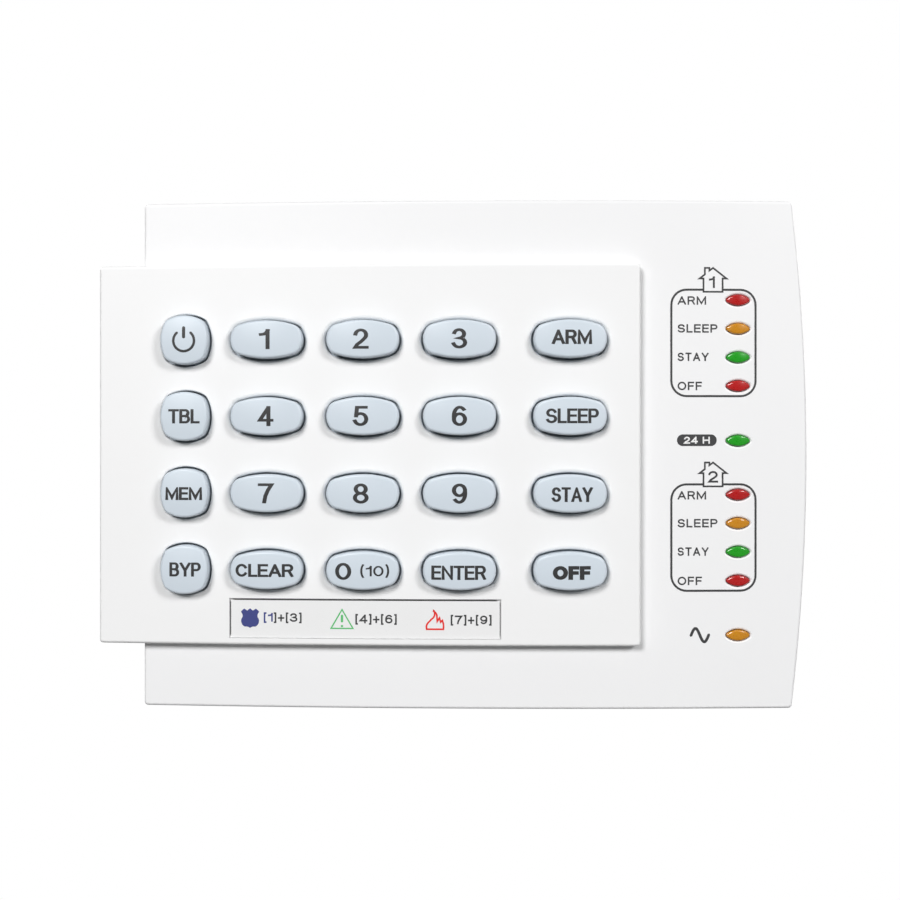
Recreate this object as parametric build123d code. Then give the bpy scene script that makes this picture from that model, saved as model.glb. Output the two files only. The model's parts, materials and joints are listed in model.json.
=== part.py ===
from build123d import *

import os
from math import sqrt

# A wall keypad for an alarm.  X runs to the right along the wall, Y into the wall, Z up.
# The origin is the centre of the wall plate's back face.  A "height" in this file is a
# distance out from the wall towards the user, which is -Y.  All sizes are millimetres.

# ---------------------------------------------------------------- case
CASE_HALF_X = 70.1  # half width at the corners
CASE_HALF_Z = 54.6
RIGHT_BOW = 3.3  # how far the right side bulges at mid height
CASE_CORNER = 0.8
EDGE_ROUND = 0.6
WALL = 2.2
CASE_DEPTH = 22.5  # height of the front at the top of its bow
BOW_RADIUS = 900.0  # the front is bowed about a vertical axis
BOW_X = 23.3  # where the bow stands highest
GAP = 0.3  # clearance between pieces of different bodies

# ---------------------------------------------------------------- wall plate and hinge
PLATE = 2.2
HOUSING_REAR = PLATE + GAP
HINGE_HEIGHT = HOUSING_REAR + WALL / 2
HINGE_Z = CASE_HALF_Z - WALL / 2
RIM = 1.6
RIM_TOP = 6.2
RIM_OUTER = WALL + 0.35  # inset of the rim's outer face from the case's outline
TOP_RIM_Z = 51.5
HOOKS_X = (-48.0, 0.0, 48.0)
HOOK_WIDTH = 10.0
LATCHES_X = (-30.0, 30.0)
LATCH_WIDTH = 8.0
SCREW_HOLE = 4.4
SCREWS_X = 56.0
SCREWS_Z = 38.0
SLOT_LENGTH = 8.0
SLOTS_Z = 41.65
CABLE_X = (12.0, 34.0)
CABLE_Z = (-10.0, 12.0)
TAMPER_X = -25.0
TAMPER_Z = -43.0
TAMPER_HOLE = 6.5

# ---------------------------------------------------------------- raised keypad fascia
FASCIA_X = (-79.5, 37.1)
FASCIA_HALF_Z = 40.8
FASCIA_STEP = 2.5  # its front stands this far out from the housing's
FASCIA_SEAT = 0.1
FASCIA_CORNER = 0.8
WING_REAR = 9.5  # height of the back edge where the fascia overhangs the case
WING_WALL = 1.6
LABEL_X = (-50.9, 7.4)
LABEL_Z = (-39.4, -30.8)
LABEL_DEPTH = 0.6
LABEL_SHEET = 0.25
STAKES = [(x, z) for x in (-55, -20, 15) for z in (-38.65, 38.65)]
STAKES += [(35.3, -20), (35.3, 20)]
STAKE = 1.6
STAKE_HEAD = 2.8

# ---------------------------------------------------------------- keys
KEY_COLUMNS = (-60.35, -42.65, -22.07, -1.5, 21.96)
KEY_ROWS = (24.55, 8.2, -8.2, -24.6)
KEY_NAMES = (
    ("power", "1", "2", "3", "arm"),
    ("trouble", "4", "5", "6", "sleep"),
    ("memory", "7", "8", "9", "stay"),
    ("bypass", "clear", "0", "enter", "off"),
)
WIDE_KEY = (15.5, 8.1)
NARROW_KEY = (10.3, 10.5)
KEY_GAP = 0.4
KEY_PROUD = 2.9  # the middle of a key above the fascia
KEY_DOME = 38.0
KEY_ROUND = 0.55
KEY_FLANGE = 0.8
KEY_TRAVEL = 1.2
PILL = 0.4
APERTURE_ROUNDS = {"wide": 0.8, "narrow": 0.35}

# ---------------------------------------------------------------- inside
BOARD_REAR = 12.0
BOARD_FRONT = 13.6
SOLDER = 0.02  # what stands on the board is this far off it
BOARD_X = (-66.0, 65.0)
BOARD_HALF_Z = 49.0
WINDOW_X = (-67.4, 32.0)
WINDOW_HALF_Z = 34.5
MAT_X = (-65.5, 33.4)
MAT_HALF_Z = 35.8
MAT_TOP = 14.8
MAT_RIB = 1.4
BOSSES = [(x, z) for x in (-62, -14, 34) for z in (-45, 45)]
BOSSES += [(61, -46), (61, 44.5)]
BOSS = 5.0
SCREW_SHANK = 2.4

# ---------------------------------------------------------------- indicators
LENS_X = 58.4
LENS_SIZE = (5.3, 2.35)
LENS_PROUD = 0.5
LENS_ROUND = 0.4
LENS_BEVEL = 0.45  # around each lens opening
LENS_COLOURS = {
    "red": (33.2, 14.75, -8.62, -27.1),
    "amber": (27.06, -14.76, -38.8),
    "green": (20.9, 2.99, -20.9),
}


# ================================================================ helpers
def prism(sketch, low, high):
    """Raise a sketch, drawn in X and Z, from one height to another."""
    return extrude(Plane.XZ.offset(low) * sketch, amount=high - low)


def block(x, z, height):
    """A box given by its limits in X, in Z and in height."""
    size = (x[1] - x[0], height[1] - height[0], z[1] - z[0])
    return Pos(sum(x) / 2, -sum(height) / 2, sum(z) / 2) * Box(*size)


def post(x, z, diameter, low, high):
    return prism(Pos(x, z) * Circle(diameter / 2), low, high)


def side_prism(outline, x, width):
    """Push an outline of (height, z) points sideways, centred on x."""
    face = make_face(Polyline(*[(-height, z) for height, z in outline], close=True))
    return Pos(x, 0, 0) * extrude(Plane.YZ * face, amount=width / 2, both=True)


def bow_height(x, above=0.0):
    """Height of the housing's bowed front at x, or of a surface that runs parallel to it."""
    radius = BOW_RADIUS + above
    return CASE_DEPTH - BOW_RADIUS + sqrt(radius**2 - (x - BOW_X) ** 2)


def behind_bow(above=0.0):
    """Everything from behind the wall out to a surface parallel to the bowed front."""
    ends = (BOW_X - 130, BOW_X + 130)
    left, middle, right = [(x, -bow_height(x, above)) for x in (ends[0], BOW_X, ends[1])]
    front = ThreePointArc(left, middle, right)
    back = Polyline(right, (ends[1], 10), (ends[0], 10), left)
    return extrude(make_face(Curve() + front + back), amount=100, both=True)


def case_outline(inset=0.0, corner=CASE_CORNER):
    """The case seen from the front: a rectangle whose right side bulges."""
    x, z = CASE_HALF_X - inset, CASE_HALF_Z - inset
    sides = Polyline((x, -z), (-x, -z), (-x, z), (x, z))
    bulge = ThreePointArc((x, z), (x + RIGHT_BOW, 0), (x, -z))
    face = make_face(Curve() + sides + bulge)
    return fillet(face.vertices(), corner)


def front_rim(solid):
    """The edges around a shell's front."""
    return [e for e in solid.edges() if all(-v.Y > 12 for v in e.vertices())]


def oval(width, height, corner_x, corner_z, radius):
    """An outline of four shallow arcs with rounded corners between them."""
    x, z = width / 2, height / 2
    tops = [(-x * corner_x, z * corner_z), (x * corner_x, z * corner_z)]
    feet = [(px, -pz) for px, pz in tops]
    sides = Curve()
    sides += ThreePointArc(tops[0], (0, z), tops[1])
    sides += ThreePointArc(tops[1], (x, 0), feet[1])
    sides += ThreePointArc(feet[1], (0, -z), feet[0])
    sides += ThreePointArc(feet[0], (-x, 0), tops[0])
    face = make_face(sides)
    return fillet(face.vertices(), radius)


def key_outline(kind, grow=0.0):
    """A key's outline, or one that is larger by grow on every side."""
    if kind == "wide":
        width, height = WIDE_KEY
        return oval(width + 2 * grow, height + 2 * grow, 0.84, 0.72, 2.2 + grow)
    width, height = NARROW_KEY
    return oval(width + 2 * grow, height + 2 * grow, 0.80, 0.77, 1.8 + grow)


def lens_outline(grow=0.0):
    """Two arcs that meet in rounded tips."""
    tip = 0.5 + grow
    x, z = LENS_SIZE[0] / 2 + 0.15 + grow * 1.25, LENS_SIZE[1] / 2 + grow
    upper = ThreePointArc((-x, 0), (0, z), (x, 0))
    lower = ThreePointArc((x, 0), (0, -z), (-x, 0))
    face = make_face(Curve() + upper + lower)
    return fillet(face.vertices(), tip)


def dome(x, z, top, radius):
    """A ball whose top is at a height over x and z, and leans with the bowed front."""
    lean = (x - BOW_X) / BOW_RADIUS
    return Pos(x - radius * lean, radius * sqrt(1 - lean**2) - top, z) * Sphere(radius)


def keys():
    """Each key's node name, place and kind."""
    for z, names in zip(KEY_ROWS, KEY_NAMES):
        for x, name in zip(KEY_COLUMNS, names):
            kind = "narrow" if x == KEY_COLUMNS[0] else "wide"
            yield "key_" + name, x, z, kind


def lens_places():
    return [z for places in LENS_COLOURS.values() for z in places]


def group(solids):
    """Separate solids that share one node."""
    return Compound(children=[s for solid in solids for s in solid.solids()])


# ================================================================ case pieces
def hook(x):
    """Holds one of the housing's lips at the top, and leaves it room to swing."""
    nose = [(2.85, -2.85), (1.4, -1.4), (3.0, -1.4), (4.2, -2.6)]
    outline = [(-1.6, -2.85), *nose, (4.2, -4.6), (-1.6, -4.6)]
    return side_prism([(HINGE_HEIGHT + out, HINGE_Z + up) for out, up in outline], x, HOOK_WIDTH)


def latch(x):
    """A springy finger with a barb behind the housing's bottom wall."""
    outer = -(CASE_HALF_Z - RIM_OUTER)
    barb = [(6.6, outer + 0.9), (7.0, outer), (7.8, outer), (9.4, outer + 0.9)]
    back = [(9.4, outer + 2.0), (6.2, outer + 2.4), (PLATE - 0.5, outer + 2.4)]
    outline = [(PLATE - 0.5, outer + 0.9), *barb, *back]
    return side_prism(outline, x, LATCH_WIDTH)


def rim():
    """The low wall that the housing drops over."""
    ring = case_outline(RIM_OUTER, 1.2) - case_outline(RIM_OUTER + RIM, 0.6)
    wall = prism(ring, PLATE - 0.5, RIM_TOP)
    wall -= block((-90, 90), (TOP_RIM_Z - RIM, 60), (PLATE, 20))
    top = (TOP_RIM_Z - RIM, TOP_RIM_Z)
    half_x = CASE_HALF_X - RIM_OUTER
    wall += block((-half_x, half_x), top, (PLATE - 0.5, RIM_TOP))
    for x in HOOKS_X:
        half = HOOK_WIDTH / 2 + 1.5
        wall -= block((x - half, x + half), (45, 60), (PLATE, 20))
    for x in LATCHES_X:
        half = LATCH_WIDTH / 2 + 1.0
        wall -= block((x - half, x + half), (-60, -45), (PLATE, 20))
    return wall


def plate_ribs():
    """Low stiffening ribs on the plate's front."""
    top = PLATE + 1.0
    rib = 1.2
    bars = [block((-60, 60), (z - rib / 2, z + rib / 2), (PLATE - 0.5, top)) for z in (-24, 24)]
    bars += [block((x - rib / 2, x + rib / 2), (-44, 44), (PLATE - 0.5, top)) for x in (-33, 44)]
    return bars


def wall_plate():
    plate = prism(case_outline(), 0, PLATE)
    plate += rim()
    plate += plate_ribs()
    collar = 1.2
    around = ((CABLE_X[0] - collar, CABLE_X[1] + collar), (CABLE_Z[0] - collar, CABLE_Z[1] + collar))
    plate += block(*around, (PLATE - 0.5, PLATE + 2.0))
    cable = Rectangle(CABLE_X[1] - CABLE_X[0], CABLE_Z[1] - CABLE_Z[0])
    cable = fillet(cable.vertices(), 2.0)
    plate -= prism(Pos(sum(CABLE_X) / 2, sum(CABLE_Z) / 2) * cable, -1, 10)
    for x in HOOKS_X:
        plate += hook(x)
    for x in LATCHES_X:
        plate += latch(x)
    for x in (-SCREWS_X, SCREWS_X):
        for z in (-SCREWS_Z, SCREWS_Z):
            plate -= post(x, z, SCREW_HOLE, -1, 5)
    for z in (-SLOTS_Z, SLOTS_Z):
        slot = Pos(0, z) * SlotOverall(SLOT_LENGTH, SCREW_HOLE, rotation=90)
        plate -= prism(slot, -1, 5)
    plate -= post(TAMPER_X, TAMPER_Z, TAMPER_HOLE, -1, 5)
    return plate


def hinge_edge_waste():
    """What is cut off the top wall's back edge, so that it is round about the hinge's axis."""
    corner = block((-90, 90), (HINGE_Z, CASE_HALF_Z + 1), (0, HINGE_HEIGHT))
    bead = Pos(0, -HINGE_HEIGHT, HINGE_Z) * Rot(0, 90, 0) * Cylinder(WALL / 2, 200)
    return corner - bead


def hinge_lip(x):
    """A tongue under the top wall that a hook of the wall plate holds."""
    outline = [(-WALL / 2, -2.3), (0, -2.3), (0, 0), (-WALL / 2, 0)]
    return side_prism([(HINGE_HEIGHT + out, HINGE_Z + up) for out, up in outline], x, HOOK_WIDTH - 2)


def boss(x, z):
    return post(x, z, BOSS, BOARD_FRONT, bow_height(x) - 1.0) & behind_bow(-1.0)


def screw_depth(x):
    """Height where a boss's blind hole ends, short of the front wall's outside."""
    return min(BOARD_FRONT + 5.0, bow_height(x) - 1.3)


def mat_ribs():
    """Ribs behind the front wall that press the key mat's edges onto the board."""
    inner, outer = WINDOW_HALF_Z, WINDOW_HALF_Z + MAT_RIB
    height = (MAT_TOP + 0.05, 40)
    ribs = [block((WINDOW_X[0] + 2, WINDOW_X[1]), z, height) for z in ((inner, outer), (-outer, -inner))]
    ribs += [block((WINDOW_X[1], WINDOW_X[1] + MAT_RIB), (-outer, outer), height)]
    return [rib & behind_bow(-1.0) for rib in ribs]


def base_housing():
    shell = prism(case_outline(), HOUSING_REAR, 40) & behind_bow()
    shell = fillet(front_rim(shell), EDGE_ROUND)
    shell -= prism(case_outline(WALL, 1.0), 0, 40) & behind_bow(-WALL)
    shell -= hinge_edge_waste()
    for x in HOOKS_X:
        shell += hinge_lip(x)
    for x, z in BOSSES:
        shell += boss(x, z)
        shell -= post(x, z, SCREW_SHANK + 0.1, 0, screw_depth(x))
    shell -= block(WINDOW_X, (-WINDOW_HALF_Z, WINDOW_HALF_Z), (BOARD_FRONT, 40))
    shell += mat_ribs()
    for x, z in STAKES:
        shell -= post(x, z, STAKE + 0.2, BOARD_FRONT, 40)
    apertures = [prism(Pos(LENS_X, z) * lens_outline(0.1), BOARD_FRONT, 40) for z in lens_places()]
    shell -= apertures
    rims = [e for e in front_rim(shell) if abs(e.center().X - LENS_X) < 4 and abs(e.center().Z) < 42]
    rims = [e for e in rims if -e.center().Y > CASE_DEPTH - WALL + 1]
    shell = fillet(rims, LENS_BEVEL)
    for x in LATCHES_X:
        shell -= block((x - 4, x + 4), (-60, -50), (6.5, 9.5))
    for step in range(5):
        x = -54 + 3.0 * step
        shell -= block((x - 0.8, x + 0.8), (-60, -50), (7.5, 15))
    return shell


def fascia_stake(x, z):
    """A pin through the housing's front wall, with its end melted into a head."""
    under = min(bow_height(x - STAKE_HEAD / 2), bow_height(x + STAKE_HEAD / 2)) - WALL - 0.03
    return post(x, z, STAKE, under - 0.2, bow_height(x) + 1) + post(x, z, STAKE_HEAD, under - 0.7, under)


def aperture_rims(shell, kind):
    """The front edges of the apertures for one kind of key."""
    rims = []
    for edge in shell.edges():
        middle = edge.center()
        on_front = abs(-middle.Y - bow_height(middle.X, FASCIA_STEP)) < 0.12
        inside = FASCIA_X[0] + 3 < middle.X < FASCIA_X[1] - 3 and abs(middle.Z) < FASCIA_HALF_Z - 3
        narrow = middle.X < KEY_COLUMNS[0] + NARROW_KEY[0]
        if on_front and inside and narrow == (kind == "narrow"):
            rims.append(edge)
    return rims


def keypad_fascia():
    width, height = FASCIA_X[1] - FASCIA_X[0], 2 * FASCIA_HALF_Z
    outline = fillet(Rectangle(width, height).vertices(), FASCIA_CORNER)
    outline = Pos(sum(FASCIA_X) / 2, 0) * outline
    shell = prism(outline, WING_REAR, 40) & behind_bow(FASCIA_STEP)
    shell = fillet(front_rim(shell), EDGE_ROUND)
    case_left = -CASE_HALF_X - 0.3
    shell -= block((case_left, 60), (-60, 60), (0, 40)) & behind_bow(FASCIA_SEAT)
    inner_x = (FASCIA_X[0] + WING_WALL, case_left - WING_WALL)
    inner_z = FASCIA_HALF_Z - WING_WALL
    hollow = block(inner_x, (-inner_z, inner_z), (0, 40)) & behind_bow(FASCIA_STEP - 2.4)
    for z in (-20, 0, 20):
        hollow -= block((-90, -60), (z - 0.6, z + 0.6), (0, 40))
    shell -= hollow
    for x, z in STAKES:
        shell += fascia_stake(x, z)
    for _, x, z, kind in keys():
        shell -= prism(Pos(x, z) * key_outline(kind, KEY_GAP), BOARD_FRONT, 40)
    for kind, radius in APERTURE_ROUNDS.items():
        shell = fillet(aperture_rims(shell, kind), radius)
    shell -= block(LABEL_X, LABEL_Z, (BOARD_FRONT, 40)) - behind_bow(FASCIA_STEP - LABEL_DEPTH)
    return shell


def legend_label():
    bottom = FASCIA_STEP - LABEL_DEPTH + 0.02
    inset = 0.15
    x = (LABEL_X[0] + inset, LABEL_X[1] - inset)
    z = (LABEL_Z[0] + inset, LABEL_Z[1] - inset)
    return (block(x, z, (BOARD_FRONT, 40)) & behind_bow(bottom + LABEL_SHEET)) - behind_bow(bottom)


# ================================================================ keys
def plunger_outline(kind):
    return Ellipse(2.5, 2.0) if kind == "wide" else Circle(2.0)


def key(x, z, kind):
    """A domed cap with a flange behind the fascia, a plunger and its contact pill."""
    top = bow_height(x, FASCIA_STEP) + KEY_PROUD
    cap = prism(Pos(x, z) * key_outline(kind), BOARD_FRONT, 40) & dome(x, z, top, KEY_DOME)
    rim_edges = [e for e in cap.edges() if all(-v.Y > BOARD_FRONT + 2 for v in e.vertices())]
    cap = fillet(rim_edges, KEY_ROUND)
    cap += prism(Pos(x, z) * key_outline(kind, KEY_FLANGE), BOARD_FRONT, 40) & behind_bow(-0.15)
    cap -= behind_bow(-0.85)
    pill_rear = BOARD_FRONT + KEY_TRAVEL + 0.05
    plunger = Pos(x, z) * plunger_outline(kind)
    cap += prism(plunger, pill_rear + PILL, bow_height(x) - 0.5) & behind_bow(-0.4)
    pill = prism(plunger, pill_rear, pill_rear + PILL)
    return group([cap, pill])


def mat_hole(kind, grow=0.0):
    width, height = (12.0, 5.6) if kind == "wide" else (8.0, 8.0)
    outline = Rectangle(width + 2 * grow, height + 2 * grow)
    return fillet(outline.vertices(), 2.2 + grow)


def key_mat():
    """The rubber sheet on the board, with a low wall around each plunger."""
    mat = block(MAT_X, (-MAT_HALF_Z, MAT_HALF_Z), (BOARD_FRONT + 0.05, MAT_TOP))
    for _, x, z, kind in keys():
        low_side = bow_height(KEY_COLUMNS[0] - 5.0) if kind == "narrow" else bow_height(x - 6.0)
        web_top = min(low_side - 0.85 - KEY_TRAVEL - GAP, MAT_TOP + 2.0)
        mat += prism(Pos(x, z) * mat_hole(kind, 1.0), MAT_TOP - 0.3, web_top)
        mat -= prism(Pos(x, z) * mat_hole(kind), BOARD_FRONT - 1, web_top + 1)
    return mat


# ================================================================ board and its parts
def circuit_board():
    width, height = BOARD_X[1] - BOARD_X[0], 2 * BOARD_HALF_Z
    outline = Pos(sum(BOARD_X) / 2, 0) * fillet(Rectangle(width, height).vertices(), 1.5)
    board = prism(outline, BOARD_REAR, BOARD_FRONT)
    for x, z in BOSSES:
        board -= post(x, z, 2.9, BOARD_REAR - 1, BOARD_FRONT + 1)
    return board


def pcb_screws():
    """Pan-head screws through the board into the housing's bosses."""
    screws = []
    for x, z in BOSSES:
        head = post(x, z, 4.6, BOARD_REAR - 1.7, BOARD_REAR - SOLDER)
        head = fillet(head.edges().sort_by(Axis.Y)[-1], 0.5)
        for angle in (0, 90):
            cross = Pos(x, z) * Rectangle(2.6, 0.7, rotation=angle)
            head -= prism(cross, BOARD_REAR - 2.5, BOARD_REAR - 0.8)
        screws.append(head + post(x, z, SCREW_SHANK, BOARD_REAR - 0.5, screw_depth(x) - 0.4))
    return group(screws)


def lenses(places):
    """Domed lenses with a flange behind the housing's front wall and a short light guide."""
    solids = []
    for z in places:
        top = bow_height(LENS_X) + LENS_PROUD
        seat = bow_height(LENS_X + 4.0) - WALL - 0.05
        here = Pos(LENS_X, z)
        barrel = prism(here * lens_outline(), seat - 0.4, 40) & dome(LENS_X, z, top, 7.0)
        crown = [e for e in barrel.edges() if all(-v.Y > seat + 1 for v in e.vertices())]
        barrel = fillet(crown, LENS_ROUND)
        flange = prism(here * lens_outline(0.6), seat - 0.8, seat)
        guide = prism(here * lens_outline(-0.2), seat - 1.3, seat - 0.4)
        solids.append(barrel + flange + guide)
    return group(solids)


def light_block():
    """A shade with one cell for each indicator."""
    top = bow_height(LENS_X + 4.0) - WALL - 0.05 - 1.4
    body = block((53.5, 63.5), (-42.5, 37.0), (BOARD_FRONT + 0.05, top))
    for z in lens_places():
        body -= block((LENS_X - 3.6, LENS_X + 3.6), (z - 1.9, z + 1.9), (BOARD_FRONT - 1, top + 1))
    return body


def chip(x, z, length, width, height, front):
    """A small part on the front or the back of the board."""
    level = (BOARD_FRONT + SOLDER, BOARD_FRONT + SOLDER + height)
    if not front:
        level = (BOARD_REAR - SOLDER - height, BOARD_REAR - SOLDER)
    return block((x - length / 2, x + length / 2), (z - width / 2, z + width / 2), level)


def indicator_leds():
    return group([chip(LENS_X, z, 3.2, 1.6, 1.1, True) for z in lens_places()])


def backlight_leds():
    leds = []
    for _, x, z, kind in keys():
        reach = 4.2 if kind == "wide" else 3.0
        leds += [chip(x + side * reach, z, 1.2, 1.0, 0.6, True) for side in (-1, 1)]
    return group(leds)


TERMINAL_PITCH = 5.08
TERMINALS_X = [22.5 + TERMINAL_PITCH * (i - 1.5) for i in range(4)]
TERMINAL_Z = (-28.0, -20.0)
TERMINAL_REAR = 3.7


def terminal_block():
    """Four screw terminals; wires enter from above and screws are turned from behind."""
    half = 2 * TERMINAL_PITCH + 0.3
    body = block((22.5 - half, 22.5 + half), TERMINAL_Z, (TERMINAL_REAR, BOARD_REAR - SOLDER))
    ledge = block((0, 60), (TERMINAL_Z[0] - 1, TERMINAL_Z[0] + 1.6), (0, TERMINAL_REAR + 2.4))
    body -= ledge
    for x in TERMINALS_X:
        body -= block((x - 1.9, x + 1.9), (TERMINAL_Z[1] - 6.2, TERMINAL_Z[1] + 1), (7.0, 10.8))
        body -= post(x, TERMINAL_Z[1] - 3.4, 3.7, TERMINAL_REAR - 1, 8.0)
    return body


def terminal_clamps():
    """Metal cages that a wire slides into."""
    cages = []
    z = (TERMINAL_Z[1] - 5.4, TERMINAL_Z[1] - 1.4)
    for x in TERMINALS_X:
        cage = block((x - 1.7, x + 1.7), z, (7.5, 10.6))
        cage -= block((x - 1.2, x + 1.2), (z[0] - 1, z[1] + 1), (8.1, 10.1))
        cages.append(cage)
    return group(cages)


def terminal_screws():
    screws = []
    for x in TERMINALS_X:
        z = TERMINAL_Z[1] - 3.4
        head = post(x, z, 3.4, TERMINAL_REAR + 0.6, 7.4)
        screws.append(head - block((x - 2, x + 2), (z - 0.35, z + 0.35), (0, TERMINAL_REAR + 1.5)))
    return group(screws)


def buzzer():
    x, z, diameter = -48.0, -38.0, 14.0
    body = post(x, z, diameter, 5.2, BOARD_REAR - SOLDER)
    body = fillet(body.edges().sort_by(Axis.Y)[-1], 0.6)
    body -= post(x, z, 3.0, 4.0, 7.0)
    return body


def leads(x, z, half, count, pitch):
    """Bent leads on the four sides of a square chip."""
    solids = []
    for side in range(4):
        for i in range(count):
            offset = (i - (count - 1) / 2) * pitch
            width = (offset - 0.14, offset + 0.14)
            lead = block((half, half + 1.0), width, (BOARD_REAR - 0.2, BOARD_REAR - SOLDER))
            lead += block((half - 0.1, half + 0.35), width, (BOARD_REAR - 0.9, BOARD_REAR - SOLDER))
            solids.append(Pos(x, 0, z) * Rot(0, 90 * side, 0) * lead)
    return solids


def microcontroller():
    x, z, half = -20.0, 8.0, 5.0
    body = block((x - half, x + half), (z - half, z + half), (BOARD_REAR - 1.6, BOARD_REAR - 0.1))
    body -= post(x - half + 1.2, z + half - 1.2, 0.9, 5, BOARD_REAR - 1.5)
    return group([body] + leads(x, z, half + 0.02 + 0.1, 11, 0.8))


def crystal():
    x, z = -4.0, 8.0
    can = fillet(Rectangle(4.6, 10.8).vertices(), 2.2)
    foot = fillet(Rectangle(5.4, 11.6).vertices(), 2.6)
    top = prism(Pos(x, z) * can, BOARD_REAR - 3.6, BOARD_REAR - 0.4)
    return top + prism(Pos(x, z) * foot, BOARD_REAR - 0.7, BOARD_REAR - SOLDER)


HEADER = (-45.0, 20.0)
HEADER_PINS = 5
HEADER_PITCH = 2.54


def header_pin_places():
    return [HEADER[0] + HEADER_PITCH * (i - (HEADER_PINS - 1) / 2) for i in range(HEADER_PINS)]


def programming_header():
    half = HEADER_PITCH * HEADER_PINS / 2
    x, z = HEADER
    body = block((x - half, x + half), (z - 1.25, z + 1.25), (9.4, BOARD_REAR - SOLDER))
    for pin_x in header_pin_places():
        body -= block((pin_x - 0.36, pin_x + 0.36), (z - 0.36, z + 0.36), (0, 20))
    return body


def header_pins():
    width = (HEADER[1] - 0.32, HEADER[1] + 0.32)
    pins = [block((x - 0.32, x + 0.32), width, (4.2, 11.9)) for x in header_pin_places()]
    return group([chamfer(pin.faces().sort_by(Axis.Y)[-1].edges(), 0.15) for pin in pins])


def capacitors():
    """Aluminium cans on square feet."""
    cans = []
    for x in (44.0, 52.0):
        z = 10.0
        can = post(x, z, 6.3, BOARD_REAR - 7.2, BOARD_REAR - 0.8)
        can = fillet(can.edges().sort_by(Axis.Y)[-1], 0.5)
        foot = chamfer(Rectangle(6.8, 6.8).vertices(), 1.2)
        cans.append(can + prism(Pos(x, z) * foot, BOARD_REAR - 1.0, BOARD_REAR - SOLDER))
    return group(cans)


def voltage_regulator():
    x, z = 46.0, -8.0
    body = block((x - 3.3, x + 3.3), (z - 3.0, z + 3.0), (BOARD_REAR - 2.4, BOARD_REAR - 0.15))
    body = chamfer(body.faces().sort_by(Axis.Y)[0].edges(), 0.3)
    tab = block((x - 2.7, x + 2.7), (z + 2.9, z + 4.6), (BOARD_REAR - 0.7, BOARD_REAR - SOLDER))
    for leg in (x - 2.28, x + 2.28):
        body += block((leg - 0.4, leg + 0.4), (z - 5.6, z - 2.9), (BOARD_REAR - 0.7, BOARD_REAR - SOLDER))
    return group([body + tab])


def smd_parts():
    """Rows of small resistors and capacitors on the back of the board."""
    rows = [(-36.0, z, 5) for z in (-8.0, -12.0)]
    rows += [(-36.0, z, 6) for z in (26.0, 30.0)]
    rows += [(40.0, z, 5) for z in (24.0, 28.0)]
    chips = []
    for left, z, count in rows:
        chips += [chip(left + 4.4 * i, z, 2.0, 1.25, 0.6 + 0.15 * (i % 2), False) for i in range(count)]
    return group(chips)


# ================================================================ tamper switch
SWITCH_REAR = 8.0
COLLAR = (3.7, 4.3)
STEM = 2.1


def tamper_switch():
    half = 3.2
    x, z = TAMPER_X, TAMPER_Z
    body = block((x - half, x + half), (z - half, z + half), (SWITCH_REAR, BOARD_REAR - SOLDER))
    return body - post(x, z, STEM + 0.2, 0, 11.5)


def tamper_plunger():
    """A pin that reaches through the wall plate and rests on the wall."""
    pin = post(TAMPER_X, TAMPER_Z, 3.4, 0, COLLAR[0] + 0.1)
    pin = fillet(pin.edges().sort_by(Axis.Y)[-1], 0.6)
    pin += post(TAMPER_X, TAMPER_Z, 5.0, *COLLAR)
    return pin + post(TAMPER_X, TAMPER_Z, STEM, COLLAR[1] - 0.1, 9.6)


def tamper_spring():
    wire, mean, turns = 0.35, 1.95, 3
    low, high = COLLAR[1] + wire / 2 + 0.05, SWITCH_REAR - wire / 2 - 0.05
    path = Helix((high - low) / turns, high - low, mean)
    section = (path ^ 0) * Circle(wire / 2)
    coil = sweep(section, path)
    return Pos(TAMPER_X, -low, TAMPER_Z) * Rot(90, 0, 0) * coil


# ================================================================ files
def all_nodes():
    nodes = {
        "wall_plate": wall_plate(),
        "base_housing": base_housing(),
        "keypad_fascia": keypad_fascia(),
        "legend_label": legend_label(),
        "key_mat": key_mat(),
        "circuit_board": circuit_board(),
        "light_block": light_block(),
        "indicator_leds": indicator_leds(),
        "backlight_leds": backlight_leds(),
        "terminal_block": terminal_block(),
        "terminal_clamps": terminal_clamps(),
        "terminal_screws": terminal_screws(),
        "buzzer": buzzer(),
        "microcontroller": microcontroller(),
        "crystal": crystal(),
        "programming_header": programming_header(),
        "header_pins": header_pins(),
        "capacitors": capacitors(),
        "voltage_regulator": voltage_regulator(),
        "smd_parts": smd_parts(),
        "pcb_screws": pcb_screws(),
        "tamper_switch": tamper_switch(),
        "tamper_plunger": tamper_plunger(),
        "tamper_spring": tamper_spring(),
    }
    for colour, places in LENS_COLOURS.items():
        nodes[colour + "_lenses"] = lenses(places)
    for name, x, z, kind in keys():
        nodes[name] = key(x, z, kind)
    return nodes


def main():
    os.makedirs("parts", exist_ok=True)
    for name, shape in all_nodes().items():
        export_step(shape, "parts/" + name + ".step")


main()
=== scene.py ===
# %% [markdown]
# # An alarm keypad on a wall plate
# This lesson dresses the working model of a wall keypad: a white case with a raised fascia,
# twenty domed keys, ten coloured lights and their printing. The working model already holds
# every solid at its real size, so the first cell loads it as a fixed frame and measures it.

import json
import math

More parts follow.
